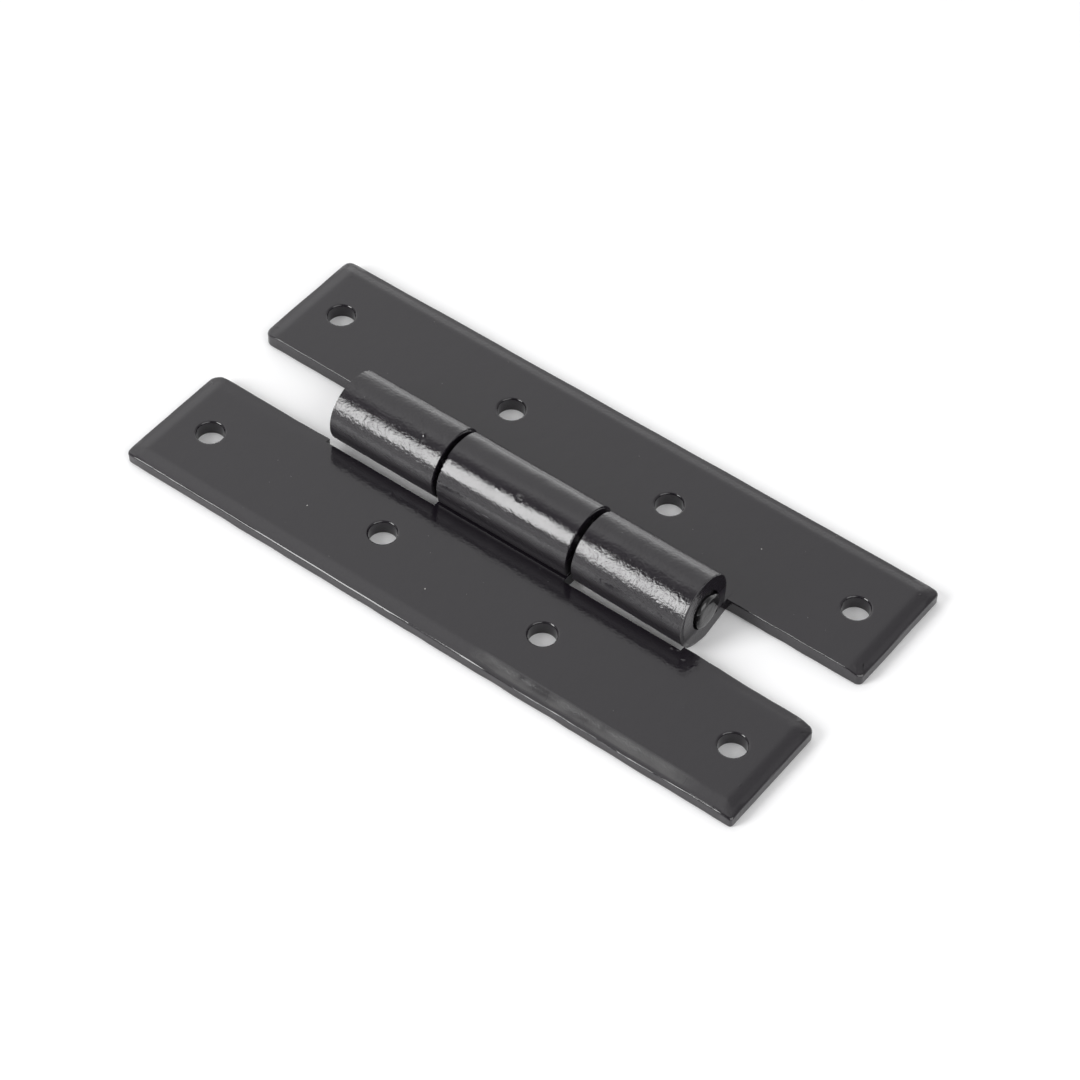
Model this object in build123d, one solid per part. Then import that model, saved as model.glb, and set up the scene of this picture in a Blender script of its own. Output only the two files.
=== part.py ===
from build123d import *
import math
import os

# Steel butt hinge lying open and flat: two leaves cut from sheet, rolled round one pin. Millimetres.
# X runs along the pin, +Y towards the far leaf and +Z up. The origin is the middle of the underside.

# Leaf blank
leaf_length = 102.3
plate_width = 19.1
thickness = 2.3
outer_corner = 1.2
inner_corner = 2.0
rim_width = 2.2
rim_drop = 0.45
upper_arris = 0.6
lower_arris = 0.3

# Pin and the roll of the leaves round it
pin_radius = 2.9
running_clearance = 0.06
near_root = 4.7
far_root = 5.3
straight_from = 8.0
tip_gap = 0.35
knuckle_arris = 0.3

# Knuckles along the pin
far_knuckle = 18.0
near_knuckle = 22.0
left_gap = 0.7
right_gap = 0.9
barrel_shift = -0.2

# Relief in each leaf's inner edge beside the other leaf's knuckles
relief_depth = 0.6
relief_end = 0.4

# Screw holes
hole_radius = 2.0
end_margin = 6.9
inner_span = 27.75
hole_line = 9.4
stagger = 0.4
pattern_shift = -0.2
hole_upper_round = 0.3
hole_lower_round = 0.15

# Rounded pin ends
nose_radius = 2.25
nose_height = 0.85
nose_round = 0.7
shoulder_inset = 0.5
shoulder_length = 0.45

# Places that follow from those sizes
barrel_radius = pin_radius + thickness
axis_y = (near_root - far_root) / 2
inner_edge = (near_root + far_root) / 2
outer_edge = inner_edge + plate_width
barrel_length = 2 * far_knuckle + near_knuckle + left_gap + right_gap
barrel_left = barrel_shift - barrel_length / 2
near_left = barrel_left + far_knuckle + left_gap
near_right = near_left + near_knuckle
barrel_right = barrel_left + barrel_length
pin_axis = Pos(0, axis_y, barrel_radius)
half_turn = Rot(0, 0, 180)


def plate_outline(inset):
    """The blank's outline, centred on the origin, drawn in on every side by inset."""
    outline = Rectangle(leaf_length - 2 * inset, plate_width - 2 * inset)
    outline = fillet(outline.vertices().group_by(Axis.Y)[0], inner_corner)
    return fillet(outline.vertices().group_by(Axis.Y)[-1], outer_corner)


def screw_hole():
    """What one screw hole takes out of a plate, with its rims rounded over."""
    upper = hole_radius + hole_upper_round
    lower = hole_radius + hole_lower_round
    upper_rim = extrude(Circle(upper), hole_upper_round) - Torus(upper, hole_upper_round)
    lower_rim = extrude(Circle(lower), -hole_lower_round) - Torus(lower, hole_lower_round)
    hole = extrude(Circle(hole_radius), thickness)
    hole += Pos(0, 0, thickness - hole_upper_round) * upper_rim
    return hole + Pos(0, 0, hole_lower_round) * lower_rim


def hole_centres():
    """Centres of the four screw holes: the outer pair in line, the inner pair staggered about that line."""
    line = inner_edge + hole_line
    outer = [Pos(pattern_shift + side * (leaf_length / 2 - end_margin), line) for side in (-1, 1)]
    inner = [Pos(pattern_shift + side * inner_span / 2, line - side * stagger) for side in (-1, 1)]
    return outer + inner


def plate():
    """Flat plate on the far side of the pin: its rim falls away, its arrises are rounded, four holes."""
    rim_height = thickness - rim_drop
    rim, table = plate_outline(0), plate_outline(rim_width)
    body = extrude(rim, rim_height)
    body += loft([Pos(0, 0, rim_height) * rim.face(), Pos(0, 0, thickness) * table.face()])
    body = fillet(body.edges().filter_by_position(Axis.Z, rim_height, rim_height), upper_arris)
    body = fillet(body.edges().group_by(Axis.Z)[0], lower_arris)
    body = Pos(0, (inner_edge + outer_edge) / 2) * body
    for centre in hole_centres():
        body -= centre * screw_hole()
    return body


def relief(left, right):
    """Waste along a plate's inner edge from left to right: the edge moves in and keeps its roundings."""
    edge = inner_edge + relief_depth
    height = thickness - rim_drop + rim_drop * (relief_depth + upper_arris) / rim_width
    kept = Pos(edge, 0) * Rectangle(plate_width, height, align=(Align.MIN, Align.MIN))
    kept = fillet(kept.vertices().sort_by(Axis.X)[:2].sort_by(Axis.Y)[-1:], upper_arris)
    kept = fillet(kept.vertices().sort_by(Axis.X)[:1], lower_arris)
    waste = Pos(edge + upper_arris, 0) * Rectangle(
        2 * (relief_depth + upper_arris), 2 * (thickness + lower_arris), align=(Align.MAX, Align.CENTER)
    )
    section = Plane.YZ * (waste - kept)
    return Pos((left + right) / 2) * extrude(section, (right - left) / 2, both=True)


def strip(bore_radius, root, length):
    """One tongue rolled round the pin, about the pin's axis, from its root in a plate to its tip."""
    tilt = math.radians(straight_from)
    tip_height = tip_gap - pin_radius
    start = root + rim_width
    bore_foot = (math.sqrt(bore_radius**2 - pin_radius**2), -pin_radius)

    def straight(radius):
        """Ends of the straight run that leaves a roll of this radius and stops at the tip's cut."""
        turn = (radius * math.cos(tilt), -radius * math.sin(tilt))
        return turn, (turn[0] - (turn[1] - tip_height) * math.tan(tilt), tip_height)

    outer_turn, outer_tip = straight(barrel_radius)
    bore_turn, bore_tip = straight(bore_radius)
    outline = Polyline(bore_foot, (start, -pin_radius), (start, -barrel_radius), (0, -barrel_radius))
    outline += ThreePointArc((0, -barrel_radius), (-barrel_radius, 0), outer_turn)
    outline += Polyline(outer_turn, outer_tip, bore_tip, bore_turn)
    outline += ThreePointArc(bore_turn, (-bore_radius, 0), bore_foot)
    body = extrude(Plane.YZ * make_face(outline), length / 2, both=True)
    roll = body.faces().filter_by(GeomType.CYLINDER).sort_by(SortBy.AREA)[-1]
    rims = roll.edges().filter_by(GeomType.CIRCLE)
    return fillet(rims, knuckle_arris)


def far_leaf():
    """Plate with the left and right knuckles, which grip the pin."""
    body = plate() - relief(near_left - left_gap, near_right + right_gap)
    for middle in (barrel_left + far_knuckle / 2, barrel_right - far_knuckle / 2):
        body += pin_axis * Pos(middle) * strip(pin_radius, far_root, far_knuckle)
    return body


def near_leaf():
    """The same plate turned end for end, with the middle knuckle, which runs on the pin."""
    body = half_turn * plate()
    for left, right in ((barrel_left - relief_end, near_left), (near_right, barrel_right + relief_end)):
        body -= half_turn * relief(-right, -left)
    knuckle = strip(pin_radius + running_clearance, near_root, near_knuckle)
    return body + pin_axis * Pos((near_left + near_right) / 2) * half_turn * knuckle


def hinge_pin():
    """Plain pin with a rounded shoulder and a narrower, soft-edged nose at each end."""
    face = barrel_length / 2
    shoulder = face - shoulder_inset
    nose = shoulder + shoulder_length
    end = face + nose_height
    outline = Polyline((0, 0), (0, pin_radius), (shoulder, pin_radius))
    outline += EllipticalCenterArc(
        (shoulder, nose_radius), shoulder_length, pin_radius - nose_radius, 0, arc_size=90
    )
    outline += Line((nose, nose_radius), (end - nose_round, nose_radius))
    outline += CenterArc((end - nose_round, nose_radius - nose_round), nose_round, 0, 90)
    outline += Polyline((end, nose_radius - nose_round), (end, 0), (0, 0))
    half = revolve(make_face(outline), Axis.X)
    return pin_axis * Pos(barrel_shift) * (half + mirror(half, Plane.YZ))


os.makedirs("parts", exist_ok=True)
export_step(far_leaf(), "parts/far_leaf.step")
export_step(near_leaf(), "parts/near_leaf.step")
export_step(hinge_pin(), "parts/hinge_pin.step")
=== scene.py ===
import bpy
from math import atan2, cos, degrees, hypot, pi, radians, sin, sqrt
from mathutils import Matrix, Vector, noise


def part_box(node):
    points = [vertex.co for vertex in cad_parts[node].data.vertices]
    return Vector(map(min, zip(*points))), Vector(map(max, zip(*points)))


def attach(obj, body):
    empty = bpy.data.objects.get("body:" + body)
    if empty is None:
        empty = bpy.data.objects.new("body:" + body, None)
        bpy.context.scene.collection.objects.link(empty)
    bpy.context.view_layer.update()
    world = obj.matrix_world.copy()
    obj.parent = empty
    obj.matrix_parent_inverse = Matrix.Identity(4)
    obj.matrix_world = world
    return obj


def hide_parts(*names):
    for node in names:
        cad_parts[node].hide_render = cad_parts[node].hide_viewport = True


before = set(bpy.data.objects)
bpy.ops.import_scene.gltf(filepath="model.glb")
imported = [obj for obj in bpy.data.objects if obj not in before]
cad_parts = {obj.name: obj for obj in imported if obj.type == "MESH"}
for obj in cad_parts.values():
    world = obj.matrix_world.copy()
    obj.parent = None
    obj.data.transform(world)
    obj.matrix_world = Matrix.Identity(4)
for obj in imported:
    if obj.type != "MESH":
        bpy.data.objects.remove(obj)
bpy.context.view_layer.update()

# A black-painted steel butt hinge lying open and flat. Metres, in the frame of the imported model:
# X runs along the pin, +Y towards the far leaf and +Z up, with the floor at Z = 0.

mm = 0.001

# The barrel and the leaves, as the frame has them
far_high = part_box("far_leaf")[1]
pin_low, pin_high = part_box("hinge_pin")
leaf_end = far_high.x
outer_edge = far_high.y
barrel_top = far_high.z
barrel_radius = barrel_top / 2
axis_y = (pin_low.y + pin_high.y) / 2

# Lengths below are in millimetres, down to the camera, and so are those that the shaping functions take

# The leaves' blank as the frame has it: its corners in plan, and its fallen rim with a rounded arris
thickness = 2.3
inner_edge = 5.0
outer_corner = 1.2
inner_corner = 2.0
frame_rim_drop = 0.45
frame_rim_width = 2.2
frame_arris = 0.6

# The same under paint: the rim's slope, how far in it starts and is eased, and how the edge rolls over
rim_slope = 0.22
rim_reach = 2.6
rim_ease = 0.7
edge_roll = 0.08
roll_reach = 1.0
corner_softness = 2
paint_arris = 0.28
painted_outer_corner = 0.9
sharp_outer_corner = 0.5
painted_inner_corner = 1.5
sharp_inner_corner = 0.9

# The share of the rim's fall at the inner edges, and how it grows towards the near leaf's ends
inner_fall = 0.08
left_inner_fall = 0.3
right_inner_fall = 0.85
left_fall_from, left_fall_to = -30, -34
right_fall_from, right_fall_to = 31, 42

# Lines cut into a plate for its shaping, as insets from an edge or as distances from the pin
rim_lines = (0.2, 0.45, 0.75, 1.1, 1.4, 1.7, 1.95, 2.2, 2.45, 2.75)
inner_lines = (0.3, 0.6, 1.0, 1.5, 2.2)
table_lines = (8.5, 9.8, 11.1, 12.4, 13.7, 15.0, 16.3, 17.6, 18.9, 20.2)
last_cross_line = 50
tongue_reach = 2.4

# Raises plain noise, which seldom passes 0.6, to about 1
noise_gain = 1.6
# Keeps two runs of it from lying in one line
seed_slope = 0.37

# Uneven edges: how far each wanders, over what length, and which run of unevenness it takes
edge_wobble = 0.07
outer_run, outer_seed = 6.0, 3
end_run, end_seed = 5.0, 12
lower_wobble = 0.1
lower_run, lower_seed = 3.1, 21
inner_wobble = 0.1
inner_run, inner_seed = 2.7, 15
edge_ripple = 0.012
ripple_run, ripple_seed = 3.5, 8
edge_zone = 1.7
inner_zone = 1.2
arris_zone = 1.0

# The bend of the near leaf's right inner corner
bend_depth = 0.5
bend_length = 3.4
bend_width = 3.0
bend_power = 1.6

# Where the near leaf's outer rim was hammered steeper, along x and in from the edge
hammer_depth = 0.3
hammer_start = (9, 13)
hammer_stop = (45, 39)
hammer_inner = (2.3, 1.2)
hammer_outer = (-0.3, 0.9)
hammer_run, hammer_seed = 5.0, 31
hammer_evenness = 0.8

# The knuckles: where each starts and ends along the pin
nose_height = 0.85
far_knuckle = 18.0
left_gap = 0.7
right_gap = 0.9
left_end = pin_low.x / mm + nose_height
right_end = pin_high.x / mm - nose_height
middle_left = left_end + far_knuckle + left_gap
middle_right = right_end - far_knuckle - right_gap

# How rough their paint dried: a depth, each knuckle's share of it, two sizes of grain and one of waves
peel_depth = 0.016
left_peel = 1.0
middle_peel = 0.4
right_peel = 0.8
coarse_grain = 0.55
fine_grain = 0.34
fine_share = 0.6
grain_level = 0.6
wave_depth = 0.03
wave_length = 2.6

# How far each roll bulges, and between which degrees round from +Y it swells and ebbs
left_bulge = 0.26
left_bulge_ebb = (97, 48)
middle_bulge = 0.16
middle_bulge_ebb = (97, 52)
tip_bulge_swell = (8, 30)
right_bulge = 0.15
right_bulge_growth = 0.3
right_bulge_swell = (112, 190)
right_bulge_ebb = (262, 215)

# How the right knuckle's end face leans out towards its foot
right_end_lean = 0.55
lean_length = 3.0
lean_clear_of_plate = (5.4, 2.0)

# The paint on the pin's right end: which way it ran, in degrees round from +Y, and how far
pin_radius = 2.9
nose_clear = 0.03
blob_turn = -58
blob_growth = 0.5
blob_slope = 0.3
blob_spread = (-0.4, 0.9)
blob_spacing = 0.3
blob_lines = 7

# Lumps of dried paint on a plate: x, y, radius and height
far_plate_nibs = ((49.4, 21.6, 0.2, 0.06), (-48.4, 21.3, 0.2, 0.05), (-47.7, 17.5, 0.18, 0.05),
                  (22.3, 9.6, 0.16, 0.05), (-3.2, 18.8, 0.16, 0.04), (33.5, 19.4, 0.18, 0.05))
near_plate_nibs = ((6.9, -5.9, 0.25, 0.08), (8.9, -6.6, 0.2, 0.06), (-18.9, -6.0, 0.2, 0.06),
                   (-17.4, -7.6, 0.2, 0.05), (-24.9, -6.5, 0.2, 0.06), (28.9, -6.2, 0.35, 0.14),
                   (29.7, -6.0, 0.3, 0.12), (31.1, -6.9, 0.3, 0.1), (32.9, -7.2, 0.28, 0.08),
                   (-46.9, -7.1, 0.18, 0.05), (-43.3, -20.9, 0.2, 0.05), (-38.4, -17.8, 0.2, 0.05),
                   (48.9, -19.1, 0.2, 0.06), (44.1, -18.4, 0.18, 0.05), (46.7, -17.8, 0.18, 0.05),
                   (41.6, -19.8, 0.2, 0.05), (35.8, -13.1, 0.4, 0.03), (27.8, -16.5, 0.18, 0.04))
# and on a knuckle: x, degrees round from +Y, radius and height
far_knuckle_nibs = ((-15.4, 122, 0.45, 0.24), (-16.0, 110, 0.4, 0.2), (-19.9, 109, 0.2, 0.06),
                    (-27.5, 113, 0.3, 0.05), (26.1, 156, 0.22, 0.07), (25.5, 151, 0.2, 0.06))
near_knuckle_nibs = ((1.0, 122, 0.62, 0.6), (-2.6, 125, 0.25, 0.08), (0.9, 141, 0.22, 0.05),
                     (-10.6, 122, 0.3, 0.04))
# How far round a lump a plate's faces are divided, and by how many cuts
nib_surround = 0.9
nib_cuts = 5
# The same for the knuckles, which are divided from a height upwards
fine_roll_from = 2.6
knuckle_cuts = 4

# How the frame's meshes are merged and shaded
merge_distance = 0.002
flat_angle = radians(0.3)
sharp_angle = radians(40)
normal_weight = 60
# and the margins that tell their parts apart
roll_margin = 0.07
roll_foot = 0.3
tongue_margin = 0.01
plate_margin = 0.05
top_margin = 0.001

# The paints' colours
leaf_black = (0.0092, 0.0074, 0.0104)
pin_black = (0.0095, 0.009, 0.0098)
dust_grey = (0.3, 0.29, 0.28)
fine_dust_grey = (0.15, 0.15, 0.15)
pin_dust_grey = (0.2, 0.2, 0.2)
scuff_grey = (0.16, 0.16, 0.165)
# The hammered strip's lighter grey is painted sheen: light that its duller paint catches, put into the colour
painted_sheen_grey = (0.06, 0.059, 0.06)
enamel_ior = 1.6

# How dull the paint is: on the roll, where it falls with the height, in a scuff and on the hammered rim
roll_dullness = 0.03
dullness_fall = 0.16
dullness_at_floor = 1.06
scuff_dullness = 0.2
satin_dullness = 0.34
dash_sharpness = 20.0

# Where a knuckle's paint starts above the floor, where the outer rims start and a place past them all
knuckle_foot = 3.2
outer_rim = 21.8
past_all = 30.0
# The hammered strip, along x and across in y
satin_along = (10.5, 42.5)
satin_across = (-23.2, -22.1)
# The depth of orange peel on each leaf's knuckles, and the height and the reach along x of its scuffs
far_skin = 0.048
far_scuff_height = (4.0, 4.6)
far_scuff_reach = (12.0, 28.0)
near_skin = 0.028
near_scuff_height = (4.7, 5.7)
near_scuff_reach = (-10.8, 1.5)

# The camera, solved from the photograph's leaf corners and screw holes
camera_place = Vector((187.1048, -247.8092, 351.2784)) * mm
camera_turn = radians(36.71075)
camera_height = radians(48.69531)
camera_roll = radians(1.07292)
camera_lens = 115.13
camera_sensor = 36.0

# The studio, in metres. How bright its surround is in a half circle about the pin's direction: from the
# far horizon, at 0, over the top to the near horizon, at 1
ring = ((0.0, 2.4), (0.04, 2.2), (0.08, 1.75), (0.14, 1.35), (0.19, 1.0), (0.3, 1.0), (0.36, 1.05),
        (0.41, 1.2), (0.465, 1.4), (0.52, 0.95), (0.58, 0.4), (0.7, 0.2), (0.9, 0.6), (1.0, 1.2))
ring_most = 2.4
# and how that changes along the pin, from the left, at 0, to the right, at 1, as shares of the most
across = ((0.12, 0.9), (0.3, 0.74), (0.47, 0.54), (0.58, 0.36), (0.7, 0.3))
across_most = 1.35
# The softbox at the front left makes the long highlights on the knuckles, the wide lamp eases the shadows:
# where each stands as seen from the hinge, its width, its height and its watts
softbox = ((-0.40, -0.75, 0.53), 0.35, 0.60, 7.0)
fill_lamp = ((0.80, -0.25, 0.55), 0.9, 0.9, 5.8)
floor_size = 4.0
floor_white = (0.93, 0.93, 0.935, 1)
# How much light the floor adds where it is seen, which lifts its white to the photograph's
floor_lift = 0.02


def add_camera():
    """The view of the photograph."""
    lens = bpy.data.cameras.new("camera")
    lens.sensor_fit = "HORIZONTAL"
    lens.sensor_width = camera_sensor
    lens.lens = camera_lens
    lens.clip_start = 0.01
    lens.clip_end = 20.0
    camera = bpy.data.objects.new("camera", lens)
    turn = Matrix.Rotation(camera_turn, 4, "Z") @ Matrix.Rotation(pi / 2 - camera_height, 4, "X")
    camera.matrix_world = Matrix.Translation(camera_place) @ turn @ Matrix.Rotation(camera_roll, 4, "Z")
    bpy.context.scene.collection.objects.link(camera)
    bpy.context.scene.camera = camera


def node(tree, kind, **values):
    """A node of that kind in tree, with its settings and its inputs' values."""
    made = tree.nodes.new(kind)
    for name, value in values.items():
        if hasattr(made, name):
            setattr(made, name, value)
        else:
            made.inputs[name.replace("_", " ")].default_value = value
    return made


def link(tree, *pairs):
    """Joins each output to its input, given as pairs."""
    for out, into in zip(pairs[::2], pairs[1::2]):
        tree.links.new(out, into)


def math(tree, operation, *values, clamp=False):
    """A Math node on values or sockets, given back as its output."""
    made = node(tree, "ShaderNodeMath", operation=operation, use_clamp=clamp)
    for place, value in enumerate(values):
        if isinstance(value, bpy.types.NodeSocket):
            link(tree, value, made.inputs[place])
        else:
            made.inputs[place].default_value = value
    return made.outputs[0]


def ramp(tree, value, *stops):
    """A Color Ramp through grey stops, each (position, grey), given back as its output."""
    made = tree.nodes.new("ShaderNodeValToRGB")
    elements = made.color_ramp.elements
    elements[0].position, elements[1].position = stops[0][0], stops[-1][0]
    for place, grey in stops[1:-1]:
        elements.new(place)
    for element, (place, grey) in zip(elements, stops):
        element.color = (grey, grey, grey, 1)
    link(tree, value, made.inputs["Fac"])
    return made.outputs["Color"]


def add_surround():
    """The pale surround of the studio, brightest low on the far side and to the left."""
    world = bpy.data.worlds.new("studio")
    bpy.context.scene.world = world
    world.use_nodes = True
    tree = world.node_tree
    tree.nodes.clear()
    direction = node(tree, "ShaderNodeTexCoord")
    parts = node(tree, "ShaderNodeSeparateXYZ")
    link(tree, direction.outputs["Generated"], parts.inputs[0])
    turn = math(tree, "ARCTAN2", parts.outputs["Z"], parts.outputs["Y"])
    half_turns = math(tree, "DIVIDE", turn, pi, clamp=True)
    round_ring = ramp(tree, half_turns, *[(place, grey / ring_most) for place, grey in ring])
    side = ramp(tree, math(tree, "MULTIPLY_ADD", parts.outputs["X"], 0.5, 0.5), *across)
    level = math(tree, "MULTIPLY", round_ring, math(tree, "MULTIPLY", side, ring_most * across_most))
    back = node(tree, "ShaderNodeBackground", Color=(1, 1, 1, 1))
    out = node(tree, "ShaderNodeOutputWorld")
    link(tree, level, back.inputs["Strength"], back.outputs[0], out.inputs[0])


def add_lamp(name, toward, width, height, watts):
    """An area lamp one metre away that faces the hinge."""
    light = bpy.data.lights.new(name, "AREA")
    light.shape = "RECTANGLE"
    light.size = width
    light.size_y = height
    light.energy = watts
    lamp = bpy.data.objects.new(name, light)
    toward = Vector(toward).normalized()
    lamp.matrix_world = Matrix.Translation(toward) @ toward.to_track_quat("Z", "Y").to_matrix().to_4x4()
    bpy.context.scene.collection.objects.link(lamp)


def add_floor():
    """A plain white floor that keeps the hinge's soft shadow."""
    bpy.ops.mesh.primitive_plane_add(size=floor_size)
    floor = bpy.context.object
    floor.name = "floor"
    paper = bpy.data.materials.new("white_paper")
    paper.use_nodes = True
    tree = paper.node_tree
    tree.nodes.clear()
    diffuse = node(tree, "ShaderNodeBsdfDiffuse", Color=floor_white)
    lift = node(tree, "ShaderNodeEmission")
    path = node(tree, "ShaderNodeLightPath")
    seen = math(tree, "MAXIMUM", path.outputs["Is Camera Ray"], path.outputs["Is Glossy Ray"])
    seen = math(tree, "MAXIMUM", seen, path.outputs["Is Transmission Ray"])
    link(tree, math(tree, "MULTIPLY", seen, floor_lift), lift.inputs["Strength"])
    both = node(tree, "ShaderNodeAddShader")
    out = node(tree, "ShaderNodeOutputMaterial")
    link(tree, diffuse.outputs[0], both.inputs[0], lift.outputs[0], both.inputs[1])
    link(tree, both.outputs[0], out.inputs[0])
    floor.data.materials.append(paper)


def smoothstep(low, high, value):
    """0 below low, 1 above high and smooth between them; high may be the lower one."""
    share = min(max((value - low) / (high - low), 0), 1)
    return share * share * (3 - 2 * share)


def wander(x, run, seed):
    """A smooth, uneven value, mostly from -1 to 1, that changes about once in every run along x."""
    return noise.noise(Vector((x / run, seed, seed_slope * seed))) * noise_gain


def one_way(x, run, seed):
    """The same, mostly from 0 to 1, for an edge that moves inwards."""
    return 0.5 + 0.5 * wander(x, run, seed)


def mound(distance, radius):
    """1 at the middle of a lump and 0 outside its radius."""
    return smoothstep(radius, 0.0, distance)


def cut_across(axis, places):
    """Cuts the whole mesh by a plane across an axis at each place, in millimetres."""
    normal = [float(letter == axis) for letter in "xyz"]
    for place in places:
        bpy.ops.mesh.select_all(action="SELECT")
        bpy.ops.mesh.bisect(plane_co=[place * mm * part for part in normal], plane_no=normal)


def divide_faces(piece, wanted, cuts):
    """Divides the faces of the piece being edited for whose middle and normal wanted holds."""
    bpy.ops.mesh.select_mode(type="FACE")
    bpy.ops.mesh.select_all(action="DESELECT")
    bpy.ops.object.mode_set(mode="OBJECT")
    for face in piece.data.polygons:
        face.select = wanted(face.center / mm, face.normal)
    bpy.ops.object.mode_set(mode="EDIT")
    bpy.ops.mesh.subdivide(number_cuts=cuts)


def from_axis(y, z):
    """Distance from the pin's axis and degrees round it from +Y, between -90 and 270."""
    across, up = y - axis_y / mm, z - barrel_radius / mm
    turn = degrees(atan2(up, across))
    return hypot(across, up), turn if turn > -90 else turn + 360


def round_axis(radius, turn):
    """The y and z at a distance from the pin's axis and degrees round it."""
    angle = radians(turn)
    return axis_y / mm + radius * cos(angle), barrel_radius / mm + radius * sin(angle)


def on_roll(place):
    """Whether a place lies on the outside of a knuckle."""
    radius = from_axis(place.y, place.z)[0]
    return abs(radius - barrel_radius / mm) < roll_margin and place.z > roll_foot


def merged_copy(node_name):
    """A copy of a frame part whose loose triangles are merged into clean faces, left in edit mode."""
    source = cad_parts[node_name]
    piece = source.copy()
    piece.data = source.data.copy()
    piece.name = node_name + "_painted"
    for key in [key for key in piece.keys() if key.startswith("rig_")]:
        del piece[key]
    piece.parent = None
    bpy.context.scene.collection.objects.link(piece)
    bpy.ops.object.select_all(action="DESELECT")
    piece.select_set(True)
    bpy.context.view_layer.objects.active = piece
    if piece.data.has_custom_normals:
        bpy.ops.mesh.customdata_custom_splitnormals_clear()
    bpy.ops.object.mode_set(mode="EDIT")
    bpy.ops.mesh.select_all(action="SELECT")
    bpy.ops.mesh.remove_doubles(threshold=merge_distance * mm)
    bpy.ops.mesh.mark_sharp(clear=True)
    bpy.ops.mesh.dissolve_limited(angle_limit=flat_angle)
    return piece


def finer_leaf(node_name, plate_nibs):
    """A copy of a leaf with lines enough to shape its uneven paint, its rims and its knuckles."""
    leaf = merged_copy(node_name)
    ends = [leaf_end / mm - inset for inset in rim_lines]
    cut_across("x", [-place for place in ends] + ends + list(range(-last_cross_line, last_cross_line + 1)))
    outer = outer_edge / mm
    lines = [outer - inset for inset in rim_lines] + [inner_edge + inset for inset in inner_lines]
    cut_across("y", [side * place for place in lines + list(table_lines) for side in (1, -1)])

    def seen_roll(middle, normal):
        """Whether a face lies on the part of a knuckle that stands clear of the plates."""
        return on_roll(middle) and middle.z > fine_roll_from and abs(normal.x) < 0.1

    def by_a_nib(middle, normal):
        """Whether a face lies on the table next to a lump."""
        near = any(hypot(middle.x - x, middle.y - y) < nib_surround for x, y, radius, height in plate_nibs)
        return near and normal.z > 0.9 and middle.z < thickness + plate_margin

    divide_faces(leaf, seen_roll, knuckle_cuts)
    divide_faces(leaf, by_a_nib, nib_cuts)
    bpy.ops.object.mode_set(mode="OBJECT")
    return leaf


def rim_fall(inset):
    """How far the surface falls below the table at an inset from an edge: an even slope, eased in."""
    inward = max(rim_reach - inset, 0)
    eased = inward ** 2 / (2 * rim_ease) if inward < rim_ease else inward - rim_ease / 2
    return rim_slope * eased + edge_roll * max(roll_reach - inset, 0) ** 2


def inner_share(side, x):
    """How much of the rim's fall the inner edge has: little on the far leaf, more at the near leaf's ends."""
    if side == 1:
        return inner_fall
    left = left_inner_fall * smoothstep(left_fall_from, left_fall_to, x)
    return inner_fall + left + right_inner_fall * smoothstep(right_fall_from, right_fall_to, x)


def sharper_corner(to_end, to_edge, drawn, wanted):
    """Distances from the two edges after a corner drawn with one radius is given a smaller one."""
    across, along = drawn - to_end, drawn - to_edge
    if min(across, along) <= 0:
        return to_end, to_edge
    reach = hypot(across, along)
    arc_end, arc_edge = wanted * (1 - across / reach), wanted * (1 - along / reach)
    share = reach / drawn
    return drawn + (arc_end - drawn) * share, drawn + (arc_edge - drawn) * share


def inside_corner(to_end, to_edge, drawn):
    """How far a point lies inside two edges that meet in a corner of the drawn radius."""
    across, along = drawn - to_end, drawn - to_edge
    left = (across + along) ** 2 - 2 * (across ** 2 + along ** 2 - drawn ** 2)
    inset = (sqrt(max(left, 0)) - across - along) / 2
    if left < 0 or min(across, along) + inset <= 0:
        return min(to_end, to_edge)
    return inset


def on_tongue(x, side, to_inner, z):
    """Whether a place near the inner edge lies on a tongue that is rolled into a knuckle."""
    tongues = ((left_end, left_end + far_knuckle), (right_end - far_knuckle, right_end))
    if side == -1:
        tongues = ((middle_left, middle_right),)
    # The rim meets a tongue at its very side, where only the tongue's own top stays
    margin = tongue_margin if z > thickness - tongue_margin else -tongue_margin
    return to_inner < tongue_reach and any(left - margin < x < right + margin for left, right in tongues)


def hammered(x, to_outer):
    """How far the near leaf's outer rim was beaten down at a place."""
    stretch = smoothstep(*hammer_start, x) * smoothstep(*hammer_stop, x)
    uneven = hammer_evenness + (1 - hammer_evenness) * wander(x, hammer_run, hammer_seed)
    band = smoothstep(*hammer_inner, to_outer) * smoothstep(*hammer_outer, to_outer)
    return hammer_depth * stretch * uneven * band


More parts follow.
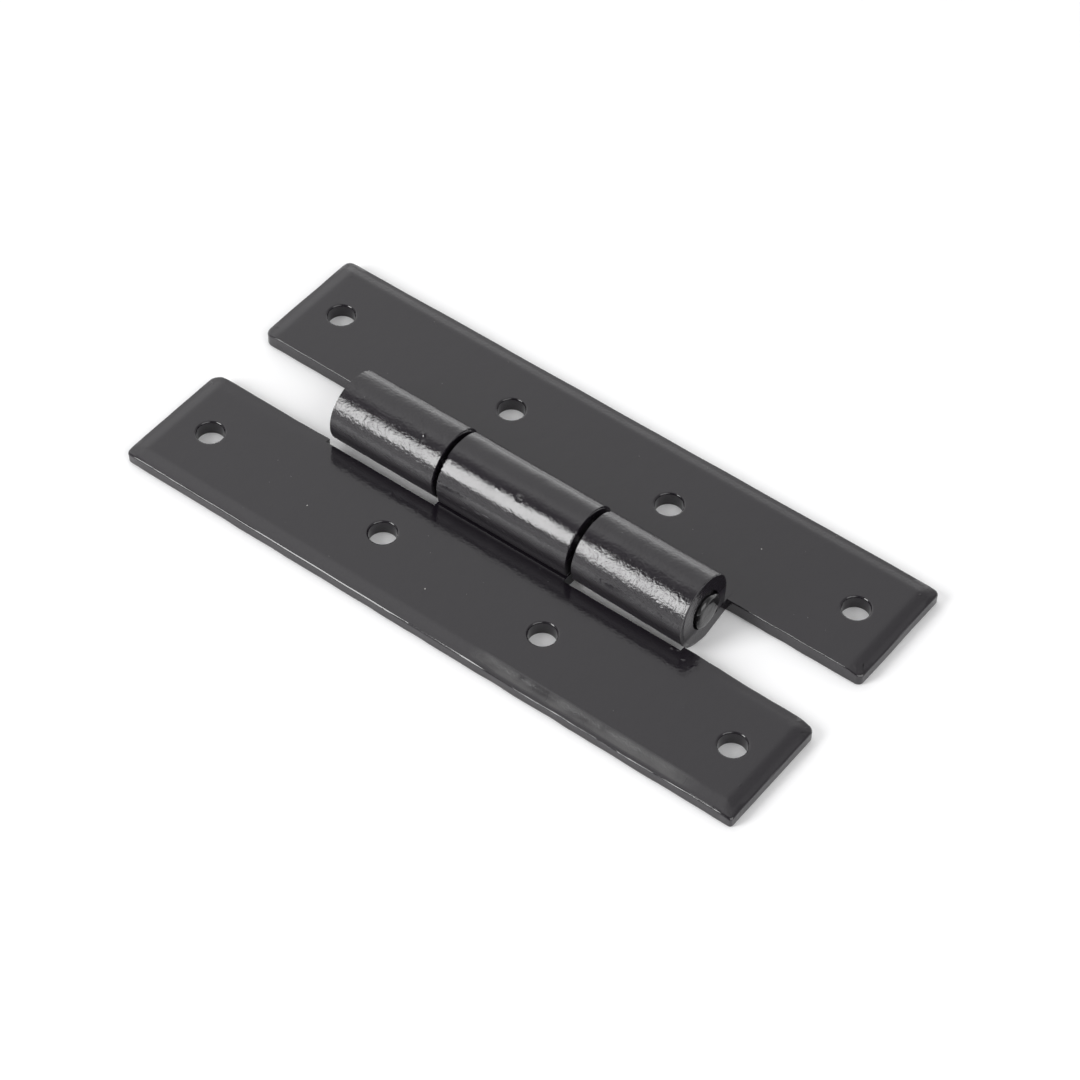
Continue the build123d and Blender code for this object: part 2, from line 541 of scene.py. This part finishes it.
def shape_plate(place, side):
    """Where a point of a leaf's plate goes: soft rims, uneven edges and sharper corners."""
    x, y, z = place
    end, outer = leaf_end / mm, outer_edge / mm
    if on_tongue(x, side, side * y - inner_edge, z):
        return place
    to_end, to_outer, to_inner = end - abs(x), outer - side * y, side * y - inner_edge
    by_outer = inside_corner(to_end, to_outer, outer_corner)
    inset = min(by_outer, inside_corner(to_end, to_inner, inner_corner))
    frame_fall = frame_rim_drop * max(0, 1 - inset / frame_rim_width)
    # The arris between rim and side is drawn wider than the paint shows it
    below = thickness - frame_fall - z
    arris_in, arris_below = sharper_corner(inset, below, frame_arris, paint_arris)
    z -= arris_below - below
    out_by = inset - arris_in
    # Sharper corners in plan
    near_right = side == -1 and x > 0
    at_end, at_outer, at_inner = to_end, to_outer, to_inner
    outer_radius = sharp_outer_corner if near_right else painted_outer_corner
    inner_radius = sharp_inner_corner if x > 0 else painted_inner_corner
    to_end, to_outer = sharper_corner(to_end, to_outer, outer_corner, outer_radius)
    to_end, to_inner = sharper_corner(to_end, to_inner, inner_corner, inner_radius)
    # The rim's own fall
    falls = (rim_fall(to_end), rim_fall(to_outer), inner_share(side, x) * rim_fall(to_inner))
    fall = sum(one ** corner_softness for one in falls) ** (1 / corner_softness)
    if side == -1:
        fall += hammered(x, to_outer)
    height_share = max(z, 0) / (thickness - frame_fall)
    rim = smoothstep(edge_zone, 0.0, to_outer)
    z += (frame_fall - fall) * height_share ** 2
    z += height_share ** 2 * rim * edge_ripple * wander(x, ripple_run, ripple_seed + side)
    # Each edge moves out by the sharper arris and in by its wobble
    in_by = rim * edge_wobble * one_way(x, outer_run, outer_seed + side)
    in_by += rim * lower_wobble * (1 - height_share) * one_way(x, lower_run, lower_seed + side)
    to_outer += in_by - out_by * smoothstep(arris_zone, 0.0, at_outer - inset)
    by_inner = smoothstep(inner_zone, 0.0, to_inner)
    to_inner += by_inner * inner_wobble * one_way(x, inner_run, inner_seed + side)
    to_inner -= out_by * smoothstep(arris_zone, 0.0, at_inner - inset)
    to_end -= out_by * smoothstep(arris_zone, 0.0, at_end - inset)
    y = side * (outer - to_outer) if at_outer < at_inner else side * (inner_edge + to_inner)
    if near_right and to_inner < bend_width:
        bend = max(0, 1 - to_end / bend_length) ** bend_power
        y -= bend_depth * bend * smoothstep(bend_width, 0.0, to_inner)
    to_end += smoothstep(edge_zone, 0.0, to_end) * edge_wobble * one_way(y, end_run, end_seed + side)
    return Vector(((1 if x > 0 else -1) * (end - max(to_end, 0)), y, z))


def knuckle_peel(x):
    """How rough the paint dried on the knuckle that stands at x."""
    if x < (middle_left + left_end + far_knuckle) / 2:
        return left_peel
    if x > (middle_right + right_end - far_knuckle) / 2:
        return right_peel
    return middle_peel


def bulge(x, turn):
    """How far a knuckle's roll stands out from a true circle."""
    if x < middle_left:
        return left_bulge * smoothstep(*left_bulge_ebb, turn) * smoothstep(*tip_bulge_swell, turn)
    if x < middle_right:
        return middle_bulge * smoothstep(*middle_bulge_ebb, turn) * smoothstep(*tip_bulge_swell, turn)
    growing = right_bulge + right_bulge_growth * (x - middle_right) / far_knuckle
    return growing * smoothstep(*right_bulge_swell, turn) * smoothstep(*right_bulge_ebb, turn)


def shape_roll(place, nibs):
    """Where a point on the outside of a knuckle goes: an uneven roll, orange peel and lumps of paint."""
    x = place.x
    radius, turn = from_axis(place.y, place.z)
    out = barrel_radius / mm + bulge(x, turn)
    grain = noise.noise(place / coarse_grain) + fine_share * noise.noise(place / fine_grain)
    out += peel_depth * knuckle_peel(x) * (grain - grain_level)
    out += wave_depth * noise.noise(place / wave_length)
    for nib_x, nib_turn, size, height in nibs:
        around = radians(turn - nib_turn) * barrel_radius / mm
        out += height * mound(hypot(x - nib_x, around), size)
    y, z = round_axis(out, turn)
    return Vector((x, y, min(z, barrel_top / mm - top_margin)))


def lean_right_end(place):
    """The right knuckle's end face leans out towards its foot, where paint ran over the pin's end."""
    near_end = smoothstep(right_end - lean_length, right_end, place.x)
    clear = smoothstep(*lean_clear_of_plate, place.y)
    drop = (barrel_top / mm - place.z) / (barrel_top / mm)
    return place + Vector((right_end_lean * drop * near_end * clear, 0, 0))


def shape_leaf(leaf, side, plate_nibs, knuckle_nibs):
    """Gives a leaf its soft, uneven rim, its lumps of paint and its knuckles their uneven roll."""
    for vertex in leaf.data.vertices:
        place = vertex.co / mm
        if on_roll(place):
            place = shape_roll(place, knuckle_nibs)
        elif place.z < thickness + plate_margin and side * place.y > inner_edge - tongue_margin:
            place = shape_plate(place, side)
            if place.z > thickness / 2:
                for x, y, size, height in plate_nibs:
                    place.z += height * mound(hypot(place.x - x, place.y - y), size)
        if side == 1 and place.x < right_end + plate_margin:
            place = lean_right_end(place)
        vertex.co = place * mm


def painted_pin():
    """The pin with the broad blob of paint on its right end, which runs out over the knuckle's foot."""
    pin = merged_copy("hinge_pin")
    steps = [step * blob_spacing for step in range(-blob_lines, blob_lines + 1)]
    cut_across("y", [axis_y / mm + step for step in steps])
    cut_across("z", [barrel_radius / mm + step for step in steps])
    bpy.ops.object.mode_set(mode="OBJECT")
    for vertex in pin.data.vertices:
        x, y, z = vertex.co / mm
        stand = x - right_end
        if stand > nose_clear:
            radius, turn = from_axis(y, z)
            share = smoothstep(*blob_spread, cos(radians(turn - blob_turn)))
            radius *= 1 + blob_growth * share
            stand *= 1 - blob_slope * share * (radius / pin_radius) ** 2
            vertex.co = Vector((right_end + stand, *round_axis(radius, turn))) * mm
    return pin


def smooth_paint(piece):
    """Smooth shading that keeps the wide faces true."""
    bpy.ops.object.select_all(action="DESELECT")
    piece.select_set(True)
    bpy.context.view_layer.objects.active = piece
    bpy.ops.object.shade_smooth_by_angle(angle=sharp_angle)
    weighted = piece.modifiers.new("weighted", "WEIGHTED_NORMAL")
    weighted.keep_sharp = True
    weighted.weight = normal_weight
    bpy.ops.object.modifier_apply(modifier=weighted.name)


def new_group(name, inputs, outputs):
    """An empty shader group with inputs, each (name, kind, usual value), and outputs, each (name, kind)."""
    group = bpy.data.node_groups.new(name, "ShaderNodeTree")
    for label, kind, usual in inputs:
        socket = group.interface.new_socket(name=label, in_out="INPUT", socket_type=kind)
        if usual is not None:
            socket.default_value = usual
    for label, kind in outputs:
        group.interface.new_socket(name=label, in_out="OUTPUT", socket_type=kind)
    return group, group.nodes.new("NodeGroupInput").outputs, group.nodes.new("NodeGroupOutput").inputs


number, vector = "NodeSocketFloat", "NodeSocketVector"


def orange_peel_group():
    """Skin of dried paint: a height in millimetres, with cells of a size and a depth where a mask allows."""
    inputs = (("Place", vector, None), ("Cell", number, 0.4), ("Depth", number, 0.05),
              ("Where", number, 1.0))
    tree, given, out = new_group("orange_peel", inputs, (("Height", number),))
    skin = node(tree, "ShaderNodeTexNoise", Detail=2.0, Roughness=0.55)
    link(tree, given["Place"], skin.inputs["Vector"])
    link(tree, math(tree, "DIVIDE", 1.0, given["Cell"]), skin.inputs["Scale"])
    height = math(tree, "MULTIPLY", math(tree, "SUBTRACT", skin.outputs["Fac"], 0.5), given["Depth"])
    link(tree, math(tree, "MULTIPLY", height, given["Where"]), out["Height"])
    return tree


def specks_group():
    """Sparse specks of dust in the paint: a mask from specks of a size, one to a spacing at most."""
    inputs = (("Place", vector, None), ("Spacing", number, 5.0), ("Size", number, 0.09),
              ("Share", number, 0.5))
    tree, given, out = new_group("dust_specks", inputs, (("Mask", number),))
    cells = node(tree, "ShaderNodeTexVoronoi")
    link(tree, given["Place"], cells.inputs["Vector"])
    link(tree, math(tree, "DIVIDE", 1.0, given["Spacing"]), cells.inputs["Scale"])
    size = math(tree, "DIVIDE", given["Size"], given["Spacing"])
    speck = math(tree, "LESS_THAN", cells.outputs["Distance"], size)
    chance = node(tree, "ShaderNodeSeparateColor")
    link(tree, cells.outputs["Color"], chance.inputs[0])
    kept = math(tree, "LESS_THAN", chance.outputs[0], given["Share"])
    link(tree, math(tree, "MULTIPLY", speck, kept), out["Mask"])
    return tree


def patchy_group():
    """A value that wanders between two levels in patches of a size."""
    inputs = (("Place", vector, None), ("Patch", number, 4.0), ("Low", number, 0.1), ("High", number, 0.2))
    tree, given, out = new_group("patchy_gloss", inputs, (("Value", number),))
    patches = node(tree, "ShaderNodeTexNoise", Detail=3.0, Roughness=0.6)
    link(tree, given["Place"], patches.inputs["Vector"])
    link(tree, math(tree, "DIVIDE", 1.0, given["Patch"]), patches.inputs["Scale"])
    level = node(tree, "ShaderNodeMapRange", interpolation_type="SMOOTHSTEP", From_Min=0.35, From_Max=0.65)
    link(tree, patches.outputs["Fac"], level.inputs["Value"])
    link(tree, given["Low"], level.inputs["To Min"], given["High"], level.inputs["To Max"])
    link(tree, level.outputs["Result"], out["Value"])
    return tree


def band_group():
    """A mask that is 1 between two values and fades to 0 over a soft width outside them."""
    inputs = (("Value", number, 0.0), ("From", number, 0.0), ("To", number, 1.0), ("Soft", number, 0.5))
    tree, given, out = new_group("soft_band", inputs, (("Mask", number),))
    rise = math(tree, "DIVIDE", math(tree, "SUBTRACT", given["Value"], given["From"]), given["Soft"])
    fall = math(tree, "DIVIDE", math(tree, "SUBTRACT", given["To"], given["Value"]), given["Soft"])
    rise, fall = (math(tree, "ADD", edge, 1.0, clamp=True) for edge in (rise, fall))
    link(tree, math(tree, "MULTIPLY", rise, fall), out["Mask"])
    return tree


def scuffs_group():
    """Fine dashes along X, as left by a rub: a mask, with a length, a thickness and a share of the area."""
    inputs = (("Place", vector, None), ("Length", number, 2.0), ("Thickness", number, 0.12),
              ("Share", number, 0.3))
    tree, given, out = new_group("scuffs", inputs, (("Mask", number),))
    parts = node(tree, "ShaderNodeSeparateXYZ")
    link(tree, given["Place"], parts.inputs[0])
    drawn = node(tree, "ShaderNodeCombineXYZ")
    link(tree, math(tree, "DIVIDE", parts.outputs["X"], given["Length"]), drawn.inputs["X"])
    for axis in "YZ":
        link(tree, math(tree, "DIVIDE", parts.outputs[axis], given["Thickness"]), drawn.inputs[axis])
    dashes = node(tree, "ShaderNodeTexNoise", Detail=1.0, Scale=1.0)
    link(tree, drawn.outputs[0], dashes.inputs["Vector"])
    # A larger share lowers the edge that the noise has to pass to leave a dash
    edge = math(tree, "SUBTRACT", 0.8, math(tree, "MULTIPLY", given["Share"], 0.3))
    above = math(tree, "SUBTRACT", dashes.outputs["Fac"], edge)
    link(tree, math(tree, "MULTIPLY", above, dash_sharpness, clamp=True), out["Mask"])
    return tree


class Paint:
    """One black paint while it is being mixed: its nodes, the place in millimetres and its bump so far."""

    def __init__(self, name):
        self.material = bpy.data.materials.new(name)
        self.material.use_nodes = True
        self.tree = self.material.node_tree
        self.shader = self.tree.nodes["Principled BSDF"]
        self.shader.inputs["IOR"].default_value = enamel_ior
        coordinates = node(self.tree, "ShaderNodeTexCoord")
        scaled = node(self.tree, "ShaderNodeVectorMath", operation="SCALE")
        scaled.inputs["Scale"].default_value = 1 / mm
        link(self.tree, coordinates.outputs["Object"], scaled.inputs[0])
        self.place = scaled.outputs[0]
        parts = node(self.tree, "ShaderNodeSeparateXYZ")
        link(self.tree, self.place, parts.inputs[0])
        self.x, self.y, self.z = parts.outputs
        self.height = None

    def use(self, group, place=True, **values):
        """Puts a shared group into the paint and gives back its output."""
        made = node(self.tree, "ShaderNodeGroup", node_tree=group)
        if place:
            link(self.tree, self.place, made.inputs["Place"])
        for name, value in values.items():
            if isinstance(value, bpy.types.NodeSocket):
                link(self.tree, value, made.inputs[name])
            else:
                made.inputs[name].default_value = value
        return made.outputs[0]

    def raise_skin(self, height):
        """Adds a height in millimetres to the paint's bump."""
        self.height = height if self.height is None else math(self.tree, "ADD", self.height, height)

    def finish(self, colour, spots, roughness):
        """Joins the colour with its spots, each (mask, colour), the roughness and the bump to the shader."""
        tree, mixed = self.tree, None
        for mask, spot in spots:
            mix = node(tree, "ShaderNodeMix", data_type="RGBA")
            if mixed:
                link(tree, mixed, mix.inputs[6])
            else:
                mix.inputs[6].default_value = (*colour, 1)
            mix.inputs[7].default_value = (*spot, 1)
            link(tree, mask, mix.inputs[0])
            mixed = mix.outputs[2]
        bump = node(tree, "ShaderNodeBump", Strength=1.0, Distance=mm)
        link(tree, self.height, bump.inputs["Height"], bump.outputs[0], self.shader.inputs["Normal"])
        link(tree, mixed, self.shader.inputs["Base Color"], roughness, self.shader.inputs["Roughness"])
        return self.material


def leaf_paint(name, groups, knuckle_skin, scuff_height, scuff_reach):
    """Black gloss of one leaf: calm on the plate, orange peel on its knuckles, dust, a few scuffs and painted
    sheen on the hammered rim.
    """
    peel, specks, patchy, band, scuffs = groups
    paint = Paint(name)
    tree = paint.tree
    on_knuckle = paint.use(band, place=False, Value=paint.z, From=knuckle_foot, To=past_all, Soft=0.7)
    on_plate = math(tree, "SUBTRACT", 1.0, on_knuckle)
    paint.raise_skin(paint.use(peel, Cell=0.36, Depth=knuckle_skin, Where=on_knuckle))
    paint.raise_skin(paint.use(peel, Cell=0.4, Depth=0.014, Where=on_plate))
    paint.raise_skin(paint.use(peel, Cell=3.0, Depth=0.03, Where=on_plate))
    from_pin = math(tree, "ABSOLUTE", paint.y)
    outer = paint.use(band, place=False, Value=from_pin, From=outer_rim, To=past_all, Soft=0.6)
    paint.raise_skin(paint.use(peel, Cell=0.45, Depth=0.012, Where=outer))
    # The hammered strip of the near leaf's rim is satin in patches: duller, with a lighter grey there that is
    # painted sheen
    beaten_and_sheen = paint.use(band, place=False, Value=paint.x, From=satin_along[0], To=satin_along[1], Soft=2.5)
    rim = paint.use(band, place=False, Value=paint.y, From=satin_across[0], To=satin_across[1], Soft=0.45)
    patches = paint.use(patchy, Patch=6.0, Low=0.35, High=1.0)
    beaten_and_sheen = math(tree, "MULTIPLY", math(tree, "MULTIPLY", beaten_and_sheen, rim), patches)
    paint.raise_skin(paint.use(peel, Cell=0.3, Depth=0.05, Where=beaten_and_sheen))
    dust = paint.use(specks, Spacing=4.5, Size=0.1, Share=0.6)
    fine_dust = paint.use(specks, Spacing=1.7, Size=0.05, Share=0.55)
    rubbed = paint.use(band, place=False, Value=paint.z, From=scuff_height[0], To=scuff_height[1], Soft=0.3)
    reach = paint.use(band, place=False, Value=paint.x, From=scuff_reach[0], To=scuff_reach[1], Soft=1.5)
    dashes = math(tree, "MULTIPLY", paint.use(scuffs), math(tree, "MULTIPLY", rubbed, reach))
    plate_gloss = paint.use(patchy, Patch=5.0, Low=0.1, High=0.15)
    # Duller towards the underside of the roll, where the sprayed paint is thin
    dull = math(tree, "MULTIPLY_ADD", paint.z, -dullness_fall, dullness_at_floor, clamp=True)
    knuckle_gloss = math(tree, "MULTIPLY", on_knuckle, math(tree, "ADD", dull, roll_dullness))
    scuffed = math(tree, "MULTIPLY", dashes, scuff_dullness)
    worn = math(tree, "ADD", scuffed, math(tree, "MULTIPLY", beaten_and_sheen, satin_dullness))
    roughness = math(tree, "ADD", plate_gloss, math(tree, "ADD", knuckle_gloss, worn))
    # Dust and scuffs are the paint's own marks; the hammered strip's grey is painted sheen
    spots = ((dust, dust_grey), (fine_dust, fine_dust_grey), (dashes, scuff_grey), (beaten_and_sheen, painted_sheen_grey))
    return paint.finish(leaf_black, spots, roughness)


def pin_paint(groups):
    """Black gloss of the pin's ends: thick and smooth."""
    peel, specks, patchy = groups[:3]
    paint = Paint("pin_paint")
    paint.raise_skin(paint.use(peel, Cell=0.9, Depth=0.05))
    dust = paint.use(specks, Spacing=2.5, Size=0.05, Share=0.5)
    gloss = paint.use(patchy, Low=0.07, High=0.13)
    return paint.finish(pin_black, ((dust, pin_dust_grey),), gloss)


bpy.ops.object.select_all(action="DESELECT")
bpy.context.scene.view_settings.view_transform = "Standard"
add_camera()
add_surround()
add_lamp("softbox", *softbox)
add_lamp("fill", *fill_lamp)
add_floor()
groups = (orange_peel_group(), specks_group(), patchy_group(), band_group(), scuffs_group())
far_paint = leaf_paint("far_leaf_paint", groups, far_skin, far_scuff_height, far_scuff_reach)
near_paint = leaf_paint("near_leaf_paint", groups, near_skin, near_scuff_height, near_scuff_reach)
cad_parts["hinge_pin"].material_slots[0].material = pin_paint(groups)
pin = painted_pin()
smooth_paint(pin)
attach(pin, "far")
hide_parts("hinge_pin")
leaves = (("far_leaf", "far", 1, far_paint, far_plate_nibs, far_knuckle_nibs),
          ("near_leaf", "near", -1, near_paint, near_plate_nibs, near_knuckle_nibs))
for name, body, side, paint, plate_nibs, knuckle_nibs in leaves:
    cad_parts[name].material_slots[0].material = paint
    leaf = finer_leaf(name, plate_nibs)
    shape_leaf(leaf, side, plate_nibs, knuckle_nibs)
    smooth_paint(leaf)
    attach(leaf, body)
    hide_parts(name)
